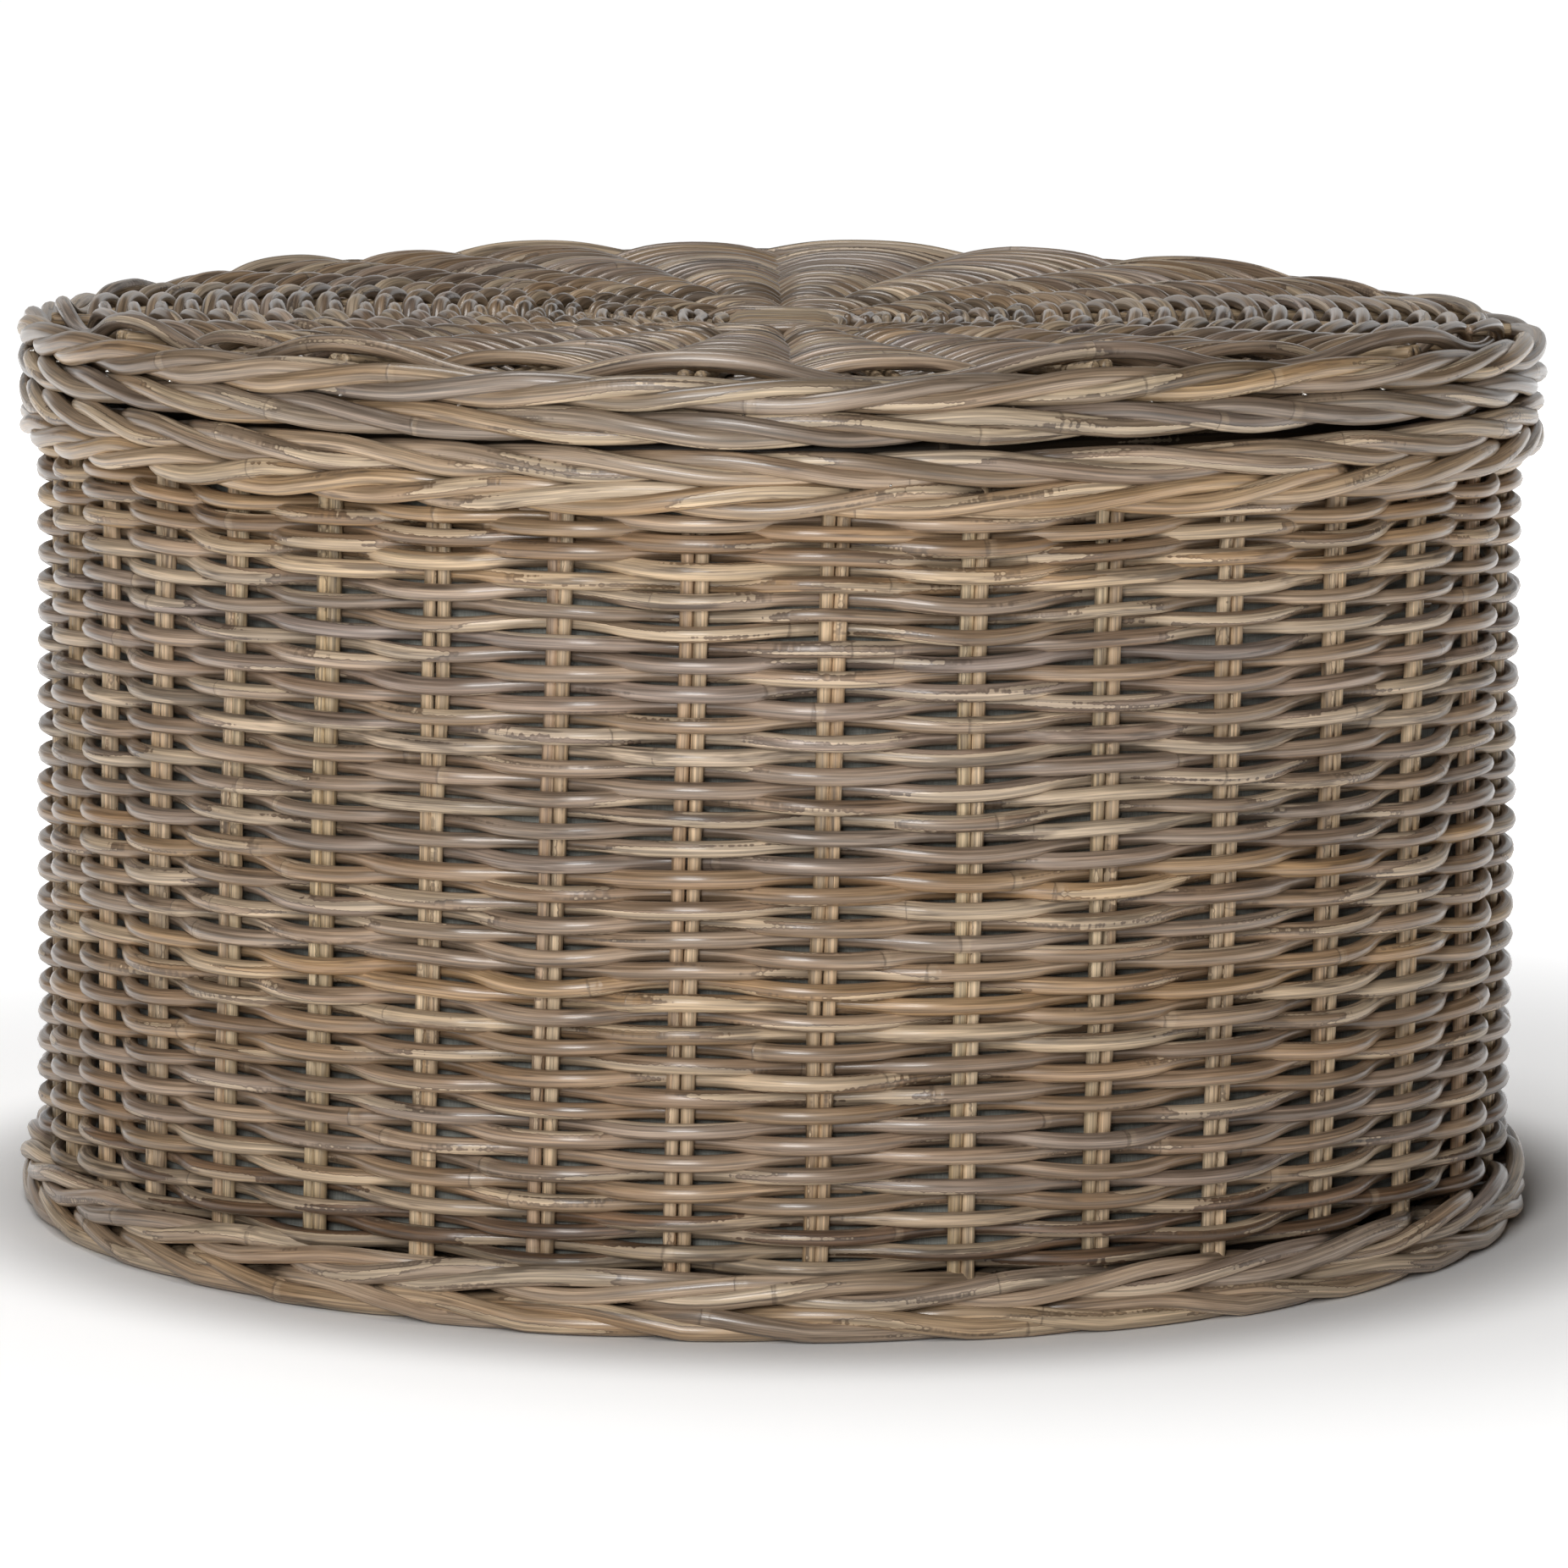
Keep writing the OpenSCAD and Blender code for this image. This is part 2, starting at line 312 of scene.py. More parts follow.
class Look:
    """A material's node tree, with short names for the nodes that it needs."""

    def __init__(self, name):
        self.material = bpy.data.materials.new(name)
        self.material.use_nodes = True
        self.tree = self.material.node_tree
        self.shader = self.tree.nodes["Principled BSDF"]

    def link(self, source, target):
        """Sets a socket to a number or a colour, or links another socket to it."""
        if isinstance(source, (int, float)):
            target.default_value = source
        elif isinstance(source, tuple):
            target.default_value = (*source, 1.0) if len(target.default_value) == 4 else source
        else:
            self.tree.links.new(source, target)

    def give(self, name, source):
        """Sets or links one of the shader's own inputs."""
        self.link(source, self.shader.inputs[name])

    def new(self, kind, inputs, **settings):
        """A node of a kind, with these inputs set or linked."""
        node = self.tree.nodes.new(f"ShaderNode{kind}")
        for name, value in settings.items():
            setattr(node, name, value)
        for name, source in inputs.items():
            self.link(source, node.inputs[name])
        return node

    def attribute(self, name, output="Vector"):
        return self.new("Attribute", {}, attribute_name=name).outputs[output]

    def spot(self):
        """Place on the object."""
        return self.new("TexCoord", {}).outputs["Object"]

    def noise(self, vector, scale, detail=2.0, roughness=0.5):
        scaled = self.new("VectorMath", {0: vector, 1: scale}, operation="MULTIPLY")
        node = self.new("TexNoise", {"Vector": scaled.outputs[0], "Scale": 1.0,
                                     "Detail": detail, "Roughness": roughness})
        return node.outputs["Fac"]

    def calc(self, operation, a, b=0.0, c=0.0):
        return self.new("Math", {0: a, 1: b, 2: c}, operation=operation).outputs[0]

    def times(self, a, b):
        return self.calc("MULTIPLY", a, b)

    def chain(self, operation, first, *others):
        """An operation over two or more values in turn."""
        for other in others:
            first = self.calc(operation, first, other)
        return first

    def spread(self, value, start, end, low_out=0.0, high_out=1.0):
        """Smooth step of value between start and end."""
        inputs = {"Value": value, "From Min": start, "From Max": end,
                  "To Min": low_out, "To Max": high_out}
        return self.new("MapRange", inputs, interpolation_type="SMOOTHSTEP").outputs["Result"]

    def mix(self, factor, a, b, blend="MIX"):
        inputs = {"Factor": factor, 6: a, 7: b}
        return self.new("Mix", inputs, data_type="RGBA", blend_type=blend).outputs[2]

    def along(self, vector):
        return self.new("SeparateXYZ", {0: vector}).outputs[0]

    def grey(self, value):
        return self.new("CombineColor", {0: value, 1: value, 2: value}).outputs[0]

    def bump(self, height, distance, strength):
        node = self.new("Bump", {"Height": height, "Distance": distance, "Strength": strength})
        self.give("Normal", node.outputs["Normal"])


def rattan(name, peel, dirt, gloss, coat):
    """Rattan cane: fibre streaks, flaked skin with toothed edges, growth rings, splits."""
    look = Look(name)
    cane = look.attribute("cane")
    tint = look.attribute("tint", "Color")
    age = look.attribute("tint", "Alpha")
    fine = look.noise(cane, (45, 2200, 2200), 2.0)
    fibre = look.noise(cane, (14, 800, 800), 3.0)
    blotch = look.noise(cane, (13, 90, 90), 4.0, 0.6)

    colour = look.mix(look.spread(blotch, 0.35, 0.7, 0.0, 0.8), tint,
                      look.mix(1.0, tint, (0.66, 0.58, 0.50), "MULTIPLY"))
    streak = look.spread(fibre, 0.3, 0.7, 0.54, 1.22)
    hair = look.spread(fine, 0.3, 0.7, 0.74, 1.16)
    shade = look.times(streak, hair)

    # flaked skin: pale, with toothed edges and a dark line round it
    teeth = look.noise(cane, (520, 120, 120), 1.0)
    patch = look.times(look.noise(cane, (9, 150, 150), 1.0, 0.55), 2.0)
    field = look.calc("MULTIPLY_ADD", teeth, 0.13, patch)
    field = look.calc("MULTIPLY_ADD", age, 0.40 * peel, field)
    edge = 1.34
    bare = look.spread(field, edge, edge + 0.02)
    rim = look.calc("SUBTRACT", look.spread(field, edge - 0.06, edge - 0.01), bare)
    colour = look.mix(look.times(bare, 0.7), colour,
                      look.mix(0.6, tint, (0.68, 0.54, 0.37)))

    # growth rings, a little wavy: a pale band with a dark line beside it
    knots = look.calc("DIVIDE", look.along(cane), KNOT_PITCH)
    apart = look.calc("FRACT", look.calc("MULTIPLY_ADD", teeth, 0.012, knots))
    off = look.calc("SUBTRACT", apart, 0.506)
    ring = look.spread(look.calc("ABSOLUTE", off), 0.002, 0.009, 1.0, 0.0)
    beside = look.calc("ABSOLUTE", look.calc("ADD", off, 0.006))
    line = look.spread(beside, 0.0, 0.003, 1.0, 0.0)
    colour = look.mix(look.times(ring, 0.25), colour, (0.56, 0.43, 0.29))

    # splits and dark stains
    split = look.spread(look.noise(cane, (9, 620, 620), 2.0, 0.6), 0.72, 0.75)
    spots = look.noise(cane, (26, 260, 260), 3.0, 0.6)
    # in the cane material this mask holds only real dark stains of the skin
    stain_and_painted_shade = look.spread(look.calc("MULTIPLY_ADD", age, 0.14 * dirt, spots), 0.62, 0.74)
    dark = look.chain("MAXIMUM", look.times(rim, 0.55), look.times(split, 0.75),
                      look.times(line, 0.5), look.times(stain_and_painted_shade, 0.6))
    colour = look.mix(dark, colour, (0.070, 0.045, 0.030))
    colour = look.mix(1.0, colour, look.grey(shade), "MULTIPLY")
    look.give("Base Color", colour)

    rough = look.chain("ADD", look.spread(fibre, 0.3, 0.7, -0.05, 0.07), gloss,
                       look.times(bare, 0.22), look.times(dark, 0.2))
    look.give("Roughness", rough)
    look.give("Coat Weight", coat)
    look.give("Coat Roughness", 0.16)
    height = look.chain("ADD", look.times(fibre, 0.5), look.times(ring, 0.5),
                        look.times(bare, -0.35), look.times(dark, -0.5))
    look.bump(height, 0.0005, 0.6)
    return look.material


def cotton(name):
    """Plain woven grey cotton."""
    look = Look(name)
    cloth = look.attribute("cane")
    warp = look.noise(cloth, (1500, 90, 90), 2.0)
    weft = look.noise(cloth, (90, 1500, 90), 2.0)
    cloud = look.noise(cloth, (9, 9, 9), 3.0)
    thread = look.times(look.spread(warp, 0.3, 0.7, 0.85, 1.1),
                        look.spread(weft, 0.3, 0.7, 0.85, 1.1))
    colour = look.mix(cloud, (0.255, 0.260, 0.232), (0.325, 0.327, 0.292))
    colour = look.mix(1.0, colour, look.grey(thread), "MULTIPLY")
    look.give("Base Color", colour)
    look.give("Roughness", look.spread(warp, 0.3, 0.7, 0.82, 0.95))
    look.give("Sheen Weight", 0.25)
    look.bump(look.calc("ADD", warp, weft), 0.0004, 0.5)
    return look.material


def steel(name):
    """Zinc-plated wire, a little dulled."""
    look = Look(name)
    spots = look.noise(look.spot(), (900, 900, 900), 3.0)
    colour = look.mix(look.spread(spots, 0.45, 0.7), (0.78, 0.77, 0.74), (0.42, 0.38, 0.33))
    look.give("Base Color", colour)
    look.give("Roughness", look.spread(spots, 0.4, 0.7, 0.22, 0.5))
    look.give("Metallic", 1.0)
    return look.material


# glow of the floor: from and to which distance it grows, and how strong it is there
NEAR_GLOW = (0.300, 0.380, 0.42)    # none under the hamper
FAR_GLOW = (0.40, 1.00, 0.60)


def pale_floor(name):
    """White floor that glows a little far from the hamper, as a lit studio sweep does."""
    look = Look(name)
    spot = look.spot()
    cloud = look.noise(spot, (0.6, 0.6, 0.6), 2.0)
    colour = look.mix(cloud, (0.90, 0.90, 0.90), (0.93, 0.93, 0.93))
    look.give("Base Color", colour)
    look.give("Roughness", 0.9)
    look.give("Specular IOR Level", 0.1)
    look.give("Emission Color", (1, 1, 1))
    length = look.new("VectorMath", {0: spot}, operation="LENGTH")
    near, far = (
        look.spread(length.outputs["Value"], start, end, 0.0, strength)
        for start, end, strength in (NEAR_GLOW, FAR_GLOW)
    )
    look.give("Emission Strength", look.calc("ADD", near, far))
    return look.material


WEAVER_LOOK = rattan("rattan_weaver", peel=1.0, dirt=1.0, gloss=0.33, coat=0.36)
BORDER_LOOK = rattan("rattan_border", peel=1.0, dirt=0.7, gloss=0.36, coat=0.35)
STAKE_LOOK = rattan("rattan_stake", peel=0.4, dirt=0.6, gloss=0.50, coat=0.1)
HOOP_LOOK = rattan("cane_hoop", peel=0.6, dirt=0.6, gloss=0.45, coat=0.1)
LINER_LOOK = cotton("liner_cloth")
BRAD_LOOK = steel("brad")

# ------------------------------ stakes of the wall

STEP = TURN / PAIRS
column_rng = np.random.default_rng(11)
column_lean = column_rng.normal(0, math.radians(0.25), PAIRS)
STAKE_0_AT = math.radians(4.03)     # right of the front
UNEVEN = math.radians(7.52)         # how far the pairs shift from even places
WIDEST_AT = math.radians(63.6)      # where they stand widest apart
WIDEST_SINE = 0.896                 # its sine, which keeps stake 0 in its place
LEAN = math.radians(0.8)            # how far they lean to the left over LEAN_H
LEAN_SWING = math.radians(0.9)      # how far that changes round the wall
LEAN_SWING_AT = math.radians(10)
STRAIGHT_Z = 0.295                  # height at which the leaning pairs are in their places
LEAN_H = 0.26


def stake_angle(s, z):
    """Angle from the front of stake s at height z. The pairs aren't quite evenly spaced,
    and they lean a little to the left towards the floor."""
    t = s * STEP
    turn = t + STAKE_0_AT + UNEVEN * (np.sin(t - WIDEST_AT) + WIDEST_SINE)
    lean = LEAN_SWING * np.sin(turn - LEAN_SWING_AT) - LEAN + periodic(column_lean, s)
    return turn + lean * (STRAIGHT_Z - z) / LEAN_H


def make_stakes():
    """The peeled rods, which bow and swell a little along their length."""
    rng = np.random.default_rng(21)
    rods = Rods(sides=12)
    z = np.linspace(STAKE_LOW, STAKE_HIGH, 40)
    for pair in range(PAIRS):
        for hand in (-0.5, 0.5):
            bow = drift(rng, z, 0.06, 0.0003)
            out = drift(rng, z, 0.05, 0.0002)
            shift = hand * PAIR_PITCH + bow + rng.normal(0, 0.0001)
            angle = stake_angle(pair + 0 * z, z) + shift / STAKE_R
            path = polar(angle, STAKE_R + out, z)
            tint = PEELED * (1 + rng.normal(0, 0.10)) * (1 + rng.normal(0, 0.02, 3))
            tint = tint * (1 + drift(rng, z, 0.03, 0.07))[:, None]
            radius = STAKE_SHOWN_D / 2 * (1 + rng.normal(0, 0.03) + drift(rng, z, 0.05, 0.02))
            rods.add(rng, path, radius, tint, polar(angle, 1, 0))
    rods.make("side_stakes_peeled", STAKE_LOOK, "basket", ["side_stakes"])


# ------------------------------ weave of the wall

ROWS = 49.75                    # rounds that the weave makes
FIRST_STAKE = -11               # where it starts, counted from the front
FIRST_ROW_Z = FOOT_TOP + 0.0022
ROW_PITCH = 0.005812
TIGHT_FROM_ROW = 43             # from here up, the rows are beaten down tighter
TIGHTENING = 0.028
SAMPLES = 12                    # points of a path for each pair of stakes
REACH = (STAKE_D + LAYER_T) / 2
WALL_FLATNESS = 0.8             # how flat a weaver lies where it passes a pair of stakes
LAP = 0.35                      # how far a cane runs on past the stake that hides its end
WALL_PIECES = 10                # how many meshes hold the weave

sag_rng = np.random.default_rng(31)
SAG_LEVELS = 9
common_sag = sag_rng.normal(0, 0.0009, (SAG_LEVELS, PAIRS))
crown_sag = sag_rng.normal(0.0002, 0.0003, (SAG_LEVELS, PAIRS))

# how warm the canes are from the floor up: they were woven in batches
BATCHES = (0.62, 0.60, 0.42, 0.66, 0.60, 0.30, 0.62, 0.24, 0.50, 0.28, 0.42, 0.78, 0.95)
RAGGED_SHARE = 0.07             # share of the wall's height that has ragged canes


def by_column(table, s, height):
    """Value of a table over levels and stakes, at stake s and at a height from 0 to 1."""
    at = np.clip(height, 0, 0.999) * (SAG_LEVELS - 1)
    i = at.astype(int)
    ring = np.stack([periodic(row, s) for row in table])
    pick = np.arange(len(s))
    return ring[i, pick] + (ring[i + 1, pick] - ring[i, pick]) * ease(at - i)


def row_height(rounds):
    """Height after so many rounds."""
    tight = TIGHTENING * np.maximum(0, rounds - TIGHT_FROM_ROW) ** 2
    return FIRST_ROW_Z + ROW_PITCH * (rounds - tight)


def wall_share(z):
    """Height up the woven wall, from 0 at the foot to 1 at the rim."""
    return (z - FOOT_TOP) / (RIM_LOW - FOOT_TOP)


def weaver_path(rng, s):
    """A weaver from stake to stake: outside the even ones of its way, inside the others."""
    z = row_height(s / PAIRS)
    wave = over_under(s, WALL_FLATNESS)
    height = wall_share(z)
    z = z + by_column(common_sag, s, height) - wave * by_column(crown_sag, s, height)
    z = z + drift(rng, s, 1.4, 0.00036)
    radius = STAKE_R + REACH * wave + drift(rng, s, 2.0, 0.00015)
    return stake_angle(s, z), radius, z


def make_side_weave():
    """One long spiral of canes, cut where one runs out and the next is laid in."""
    rng = np.random.default_rng(41)
    start, end = FIRST_STAKE, int(ROWS * PAIRS)
    canes = []
    while start < end:
        stop = min(start + 2 * int(rng.integers(20, 36)), end)
        canes.append((start, stop))
        start = stop
    groups = np.array_split(np.arange(len(canes)), WALL_PIECES)
    for number, group in enumerate(groups, 1):
        rods = Rods(sides=10)
        for c in group:
            first, last = canes[c]
            s = np.arange(first - LAP, last + LAP, 1 / SAMPLES)
            angle, radius, z = weaver_path(rng, s)
            # the two ends that meet behind a stake lie one above the other, cut to a slant
            ends = end_share(s, 0.9)
            z = z + 0.0013 * ends
            along = s * STEP * STAKE_R
            height = wall_share(z.mean())
            warmth = np.interp(height, np.linspace(0, 1, len(BATCHES)), BATCHES)
            tint = rod_tint(rng, along, warmth, 0.2) * WALL_TONE
            if height < RAGGED_SHARE:
                tint = tint * RAGGED_TONE
                age = skin_age(rng, 0.45)
            else:
                age = skin_age(rng)
            thick = WEAVER_D / 2 * (1 + rng.normal(0, 0.05) + drift(rng, along, 0.1, 0.035))
            thick = thick * (1 - 0.4 * np.abs(ends))
            rods.add(rng, polar(angle, radius, z), thick, tint, polar(angle, 1, 0), age)
        rods.make(f"side_weavers_{number:02d}", WEAVER_LOOK, "basket",
                  ["side_weave"])


# ------------------------------ rope-like borders

# Place of a rod of a band at each half step between two stakes, over three steps:
# outside two stakes and inside the third. Out is from the band's middle radius, in
# metres, and rise is a share of the way from the middle to the edge of the band.
WALE_OUT = (-0.0028, 0.0010, 0.0020, 0.0010, -0.0028, -0.0130)
ROPE_OUT = (-0.0016, 0.0018, 0.0030, 0.0018, -0.0016, -0.0034)
BAND_RISE = (-0.87, -1.0, 0.0, 1.0, 0.87, 0.0)
BAND_PERIOD = 3                 # steps from stake to stake until a rod's way repeats
WALE_SWELL = 0.0012             # how far the rods of a band stand past its edges
ROPE_SWELL = 0.0006
BAND_ROD_D = 0.0074
BAND_MEETING = -0.5             # phase of the pass inside, where one rod ends and the next starts

# how far the edge of the lid stands off the rim, every 30 degrees from the front to the right
LID_LIFT = (0.0020, 0.0050, 0.0017, 0.0002, 0.0, 0.0, 0.0, 0.0, 0.0, 0.0002, 0.0009, 0.0017)
LID_MIDDLE_LIFT = 0.0012
LID_DROOP = 0.0042              # how much lower the top of the lid's edge is at both sides
DROOP_AT = math.radians(108)    # from the front, to the left and to the right
DROOP_WIDTH = math.radians(26)


def tilt_lid(points):
    """The lid lies a little askew: its edge is warped upwards at the right of the front,
    and at both sides the top of the edge droops over the border."""
    angle = np.arctan2(points[:, 0], -points[:, 1])
    share = np.hypot(points[:, 0], points[:, 1]) / OUTER_R
    lift = np.maximum(0, periodic(LID_LIFT, angle / TURN * len(LID_LIFT)))
    side = np.exp(-(((np.abs(angle) - DROOP_AT) / DROOP_WIDTH) ** 2))
    above = ease((points[:, 2] - LID_LOW) / (LID_BORDER_TOP - LID_LOW))
    lifted = points.copy()
    lifted[:, 2] += LID_MIDDLE_LIFT + (lift - LID_MIDDLE_LIFT) * share ** 2
    lifted[:, 2] -= LID_DROOP * side * above * ease((share - 0.6) / 0.35)
    return lifted


def band_r(node):
    """Middle radius of a band of a border."""
    return high(node).x - (high(node).z - low(node).z) / 2


def make_border(name, body, node, seed, lean, keys_out, swell, warmth, tone, flaked, shape):
    """One band: three rods that follow each other, each two stakes long on the outside.

    lean is 1 where the rods rise to the right as seen from outside, and -1 where they fall.
    """
    rng = np.random.default_rng(seed)
    z_low, z_high = low(node).z, high(node).z
    mid_r = band_r(node)
    amplitude = (z_high - z_low - BAND_ROD_D) / 2 + swell
    rods = Rods(sides=12)
    start = rng.uniform(0, BAND_PERIOD)
    first = BAND_MEETING
    end = BAND_MEETING + BAND_PERIOD * PAIRS
    while first < end:
        last = min(first + BAND_PERIOD * int(rng.integers(8, 16)), end)
        s = np.arange(first - 0.25, last + 0.25, 1 / SAMPLES)
        phase = s + drift(rng, s, 1.5, 0.10)
        out = periodic(keys_out, phase * 2) + drift(rng, s, 1.0, 0.0003)
        rise = periodic(BAND_RISE, phase * 2) * lean
        z = (z_low + z_high) / 2 + amplitude * rise + drift(rng, s, 1.2, 0.0003)
        angle = np.unwrap(stake_angle((s + start) % PAIRS, z))
        along = s * STEP * mid_r
        thick = BAND_ROD_D / 2 * (1 + rng.normal(0, 0.05) + drift(rng, along, 0.15, 0.035))
        thick = thick * (1 - 0.35 * np.abs(end_share(s, 0.4)))
        tint = rod_tint(rng, along, warmth, 0.3) * tone
        path = polar(angle, mid_r + out, z)
        path[:, 2] = np.maximum(path[:, 2], FLOOR_Z + thick * KNOT_ROOM)
        rods.add(rng, path, thick, tint, polar(angle, 1, 0), skin_age(rng, flaked))
        first = last
    rods.make(name, BORDER_LOOK, body, [node], shape)


def make_borders():
    """The two bands of the foot, of the rim and of the lid, which lean against each other."""
    wale = {"keys_out": WALE_OUT, "swell": WALE_SWELL, "flaked": 0.1, "shape": None}
    rope = {"keys_out": ROPE_OUT, "swell": ROPE_SWELL, "flaked": -0.2, "shape": tilt_lid}
    for part, level, body, seed, lean, warmth, tone, form in (
        ("foot", "lower", "basket", 51, -1, 0.62, FOOT_LOWER_TONE, wale),
        ("foot", "upper", "basket", 52, 1, 0.50, FOOT_UPPER_TONE, wale),
        ("rim", "lower", "basket", 53, 1, 0.66, RIM_TONE, wale),
        ("rim", "upper", "basket", 54, -1, 0.66, RIM_TONE, wale),
        ("lid", "lower", "lid", 55, -1, 0.36, LID_EDGE_TONE, rope),
        ("lid", "upper", "lid", 56, 1, 0.42, LID_EDGE_TONE, rope),
    ):
        make_border(f"{part}_band_{level}", body, f"{part}_border_{level}", seed, lean,
                    warmth=warmth, tone=tone, **form)


# ------------------------------ woven discs

CROSS_STICKS = 5
CROSS_STICK_W = 0.0084
HUB_RISE = 0.0042               # how far the lid's middle sticks stand out of the weave
HUB_HALF_L = 0.025              # half the length over which they do
HUB_SLOPE_L = 0.010
WEAVE_START_R = 0.0215
THIN_PITCH = 0.0041             # the weavers are thinner near the middle
THIN_ROUNDS = 18
WEAVE_ROUNDS = 50               # even, so that the last goes under where the edge rod goes over
PAIRED_TO_R = 0.078             # up to here, the weave takes the pairs of spokes two by two
SHORT_BY = 0.012                # the odd spokes of the lid end short of its edge rod
SHORT_DIP = 0.0012              # and their tips bend down a little
SQUARE_CORNER = 0.36            # how much further out the first rounds go at their corners
SQUARE_R, SQUARE_FADE = 0.022, 0.034
ARCH_RISE = 0.0026
EDGE_ROD_RISE = 0.0020          # of the edge rod's middle over the spokes
EDGE_ROD_WAVE = 0.0036          # how far it rises over the even spokes, and dips at the odd
EDGE_ROD_SWAY = 0.0012          # how far it sways out and in

# places of the spokes
SPOKE_0_AT = math.radians(0.8)
SPOKES_UNEVEN = math.radians(9.2)   # how far they shift from even places, and how much more
BACK_UNEVEN = math.radians(3.2)     # they do at the back


@dataclasses.dataclass
class Disc:
    """What differs between the woven disc of the lid and the one of the base."""

    name: str
    body: str
    edge_z: float               # height of the spokes' middle at the edge, and at the cross
    hub_z: float
    spoke_r: float
    weave_r: float
    pieces: int                 # how many meshes hold the weave
    samples: int                # points of a path for each pair of spokes
    sides: int
    shape: object = None

    def z(self, r):
        """Height of the middle of the spokes at a radius."""
        out = np.maximum(0, r - SPOKE_START_R) / (self.spoke_r - SPOKE_START_R)
        return self.edge_z + (self.hub_z - self.edge_z) * (1 - out)


def spoke_angle(q):
    """Angle from the front of spoke q of the lid; q runs clockwise seen from above."""
    t = np.asarray(q, float) * TURN / SPOKES
    uneven = SPOKES_UNEVEN * np.sin(t) - BACK_UNEVEN * np.minimum(0, np.sin(t)) ** 2
    return math.pi / 2 - (t + SPOKE_0_AT + uneven)


def arch_lift(q, r):
    """The even spokes of the lid bend up at their tips round the front."""
    front = ease(np.cos(spoke_angle(q)) + 0.3)
    tip = ease(1 - (LID_DISC_R - r) / 0.03)
    return ARCH_RISE * front * np.cos(math.pi / 2 * q) ** 2 * tip


def grouped(q):
    """Spokes taken two by two, with one left over, so that their number stays odd."""
    turns = np.floor((q + 0.5) / SPOKES)
    at = (q + 0.5) - turns * SPOKES
    inside = np.where(at < SPOKES - 1, at / 2, (SPOKES - 1) / 2 + at - (SPOKES - 1))
    return inside - 0.5 + turns * (SPOKES + 1) / 2


def make_spokes(rng, disc):
    """The spokes, in pairs, with cut ends."""
    rods = Rods(sides=10)
    for q in range(SPOKES):
        for hand in (-0.5, 0.5):
            short = SHORT_BY if q % 2 and disc.name == "lid" else 0.0
            reach = disc.spoke_r - short + rng.uniform(-0.002, 0.0)
            r = np.linspace(SPOKE_START_R, reach, 24)
            side = hand * PAIR_PITCH + drift(rng, r, 0.08, 0.0004)
            angle = spoke_angle(q) + side / r
            z = disc.z(r) + drift(rng, r, 0.06, 0.0002)
            if disc.name == "lid":
                z = z + arch_lift(q, r) - (q % 2) * SHORT_DIP * ease(1 - (reach - r) / 0.02)
            tint = PEELED * SPOKE_TONE * (1 + rng.normal(0, 0.10))
            tint = tint * (1 + drift(rng, r, 0.03, 0.07))[:, None]
            radius = STAKE_D / 2 * (1 + rng.normal(0, 0.03))
            rods.add(rng, polar(angle, r, z), radius, tint, (0, 0, 1))
    rods.make(f"{disc.name}_spokes_peeled", STAKE_LOOK, disc.body,
              [f"{disc.name}_spokes"], disc.shape)


def make_cross(rng, disc):
    """The cross in the middle: split sticks along X, and thinner ones through them along Y."""
    rods = Rods(sides=14)
    for way in (0, 1):
        for i in range(CROSS_STICKS):
            shift = (i - (CROSS_STICKS - 1) / 2) * (CROSS_STICK_W + SKIN_GAP)
            x = np.linspace(-CROSS_ARM, CROSS_ARM, 24)
            bow = shift + drift(rng, x, 0.03, 0.0002)
            z = disc.hub_z + drift(rng, x, 0.03, 0.0002)
            if way == 0 and disc.name == "lid":
                z = z + HUB_RISE * ease((HUB_HALF_L - np.abs(x)) / HUB_SLOPE_L)
            path = np.stack((x, bow, z) if way == 0 else (bow, x, z), -1)
            tint = PEELED * SPOKE_TONE * (1 + rng.normal(0, 0.1))
            thin = 1 if way == 0 else 0.85
            rods.add(rng, path, STAKE_D / 2 * thin, tint, (0, 0, 1),
                     widen=CROSS_STICK_W / STAKE_D)
    rods.make(f"{disc.name}_cross", STAKE_LOOK, disc.body,
              [f"{disc.name}_cross_sticks"], disc.shape)


def cut_canes(rng):
    """First and last spoke of each cane of the spiral, which are 1.4 to 2.4 m long."""
    end = WEAVE_ROUNDS * SPOKES
    canes = []
    start = 0.0
    while start < end:
        r = WEAVE_START_R + THIN_PITCH * start / SPOKES
        stop = start + rng.uniform(1.4, 2.4) / (TURN * r / SPOKES)
        stop = min(2 * round(stop / 2) + 1, end)
        canes.append((start, max(stop, start + 1)))
        start = canes[-1][1]
    return canes


def disc_wave(q, r, angle):
    """Over and under: first the arms of the cross, then two pairs of spokes, then one."""
    side = np.where((q // SPOKES).astype(int) % 2, 1, -1)
    arms = np.tanh(2.5 * np.cos(2 * angle)) * side
    wave = arms + (over_under(grouped(q)) - arms) * ease((r - SPOKE_START_R + 0.004) / 0.004)
    return wave + (over_under(q, 1.1) - wave) * ease((r - PAIRED_TO_R) / 0.006)


